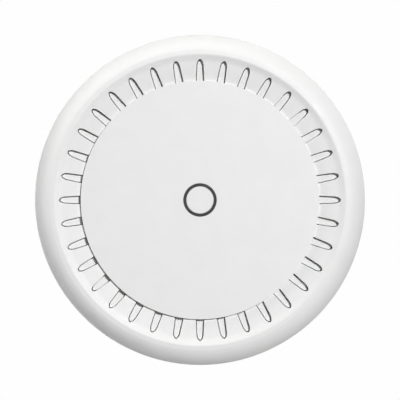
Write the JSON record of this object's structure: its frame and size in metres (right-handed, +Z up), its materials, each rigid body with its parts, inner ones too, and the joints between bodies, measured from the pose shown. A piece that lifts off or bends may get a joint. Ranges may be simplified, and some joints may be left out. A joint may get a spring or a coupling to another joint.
{
  "type": "ceiling access point",
  "caption": "Round vented ceiling access point with a twist-lock ceiling plate, a central mode button in a light ring, and network sockets in a rear bay.",
  "frame": {"origin": "centre of the ceiling plate's flat face, the face that is screwed to the ceiling", "axes": "+Z points up into the ceiling, so the front of the unit looks down along -Z; +Y is the side of the cable opening and the network sockets"},
  "size_m": [0.191, 0.191, 0.042],
  "materials": {
    "white_plastic": "fine moulded texture",
    "grey_plastic": "moulded",
    "smoked_plastic": "smoked translucent, unlit",
    "black_plastic": "moulded",
    "circuit_board": "solder mask",
    "chip_package": "moulded package",
    "thermal_pad": "soft silicone",
    "aluminium": "satin",
    "tin_plate": "tin plated",
    "gold_plate": "gold plated",
    "screw_steel": "zinc plated",
    "led_lens": "clear epoxy, unlit",
    "cable_jacket": "coaxial lead jacket"
  },
  "bodies": {
    "ceiling_plate": {"ceiling_plate": "grey_plastic"},
    "housing": {"rear_cover": "white_plastic", "front_cover": "white_plastic", "centre_disc": "white_plastic", "vent_baffle": "white_plastic", "light_ring": "smoked_plastic", "mode_switch_body": "black_plastic", "main_board": "circuit_board", "heat_spreader": "aluminium", "processor_chip": "chip_package", "processor_thermal_pad": "thermal_pad", "memory_chip_1": "chip_package", "memory_chip_2": "chip_package", "ethernet_magnetics": "black_plastic", "power_inductor": "chip_package", "reset_switch_body": "black_plastic", "radio_chip_1": "chip_package", "radio_shield_1": "tin_plate", "radio_thermal_pad_1": "thermal_pad", "power_capacitor_1": "aluminium", "ethernet_jack_shell_1": "tin_plate", "ethernet_jack_body_1": "black_plastic", "ethernet_jack_contacts_1": "gold_plate", "radio_chip_2": "chip_package", "radio_shield_2": "tin_plate", "radio_thermal_pad_2": "thermal_pad", "power_capacitor_2": "aluminium", "ethernet_jack_shell_2": "tin_plate", "ethernet_jack_body_2": "black_plastic", "ethernet_jack_contacts_2": "gold_plate", "status_led_1": "led_lens", "antenna_1": "tin_plate", "antenna_lead_1": "cable_jacket", "antenna_plug_1": "gold_plate", "board_screw_1": "screw_steel", "case_screw_1": "screw_steel", "status_led_2": "led_lens", "antenna_2": "tin_plate", "antenna_lead_2": "cable_jacket", "antenna_plug_2": "gold_plate", "board_screw_2": "screw_steel", "case_screw_2": "screw_steel", "status_led_3": "led_lens", "antenna_3": "tin_plate", "antenna_lead_3": "cable_jacket", "antenna_plug_3": "gold_plate", "board_screw_3": "screw_steel", "case_screw_3": "screw_steel", "status_led_4": "led_lens", "antenna_4": "tin_plate", "antenna_lead_4": "cable_jacket", "antenna_plug_4": "gold_plate", "board_screw_4": "screw_steel", "case_screw_4": "screw_steel"},
    "mode_button": {"mode_button": "white_plastic"},
    "mode_switch_plunger": {"mode_switch_plunger": "black_plastic"},
    "reset_button": {"reset_button": "black_plastic"},
    "reset_switch_plunger": {"reset_switch_plunger": "black_plastic"}
  },
  "joints": [
    {"name": "twist_lock", "type": "hinge", "parent": "ceiling_plate", "child": "housing", "pos_m": [0, 0, 0], "axis": [0, 0, 1], "range_deg": [0, 12]},
    {"name": "mode_press", "type": "slide", "parent": "housing", "child": "mode_button", "axis": [0, 0, 1], "range_m": [0, 0.0006], "stiffness_N_per_m": 600, "springref_m": -0.0005},
    {"name": "mode_switch_travel", "type": "slide", "parent": "housing", "child": "mode_switch_plunger", "axis": [0, 0, 1], "range_m": [0, 0.0006]},
    {"name": "reset_press", "type": "slide", "parent": "housing", "child": "reset_button", "axis": [0, -1, 0], "range_m": [0, 0.0004], "stiffness_N_per_m": 400, "springref_m": -0.0005},
    {"name": "reset_switch_travel", "type": "slide", "parent": "housing", "child": "reset_switch_plunger", "axis": [0, -1, 0], "range_m": [0, 0.0004]}
  ],
  "couplings": [
    {"joint": "mode_switch_travel", "follows": "mode_press", "ratio": 1},
    {"joint": "reset_switch_travel", "follows": "reset_press", "ratio": 1}
  ]
}
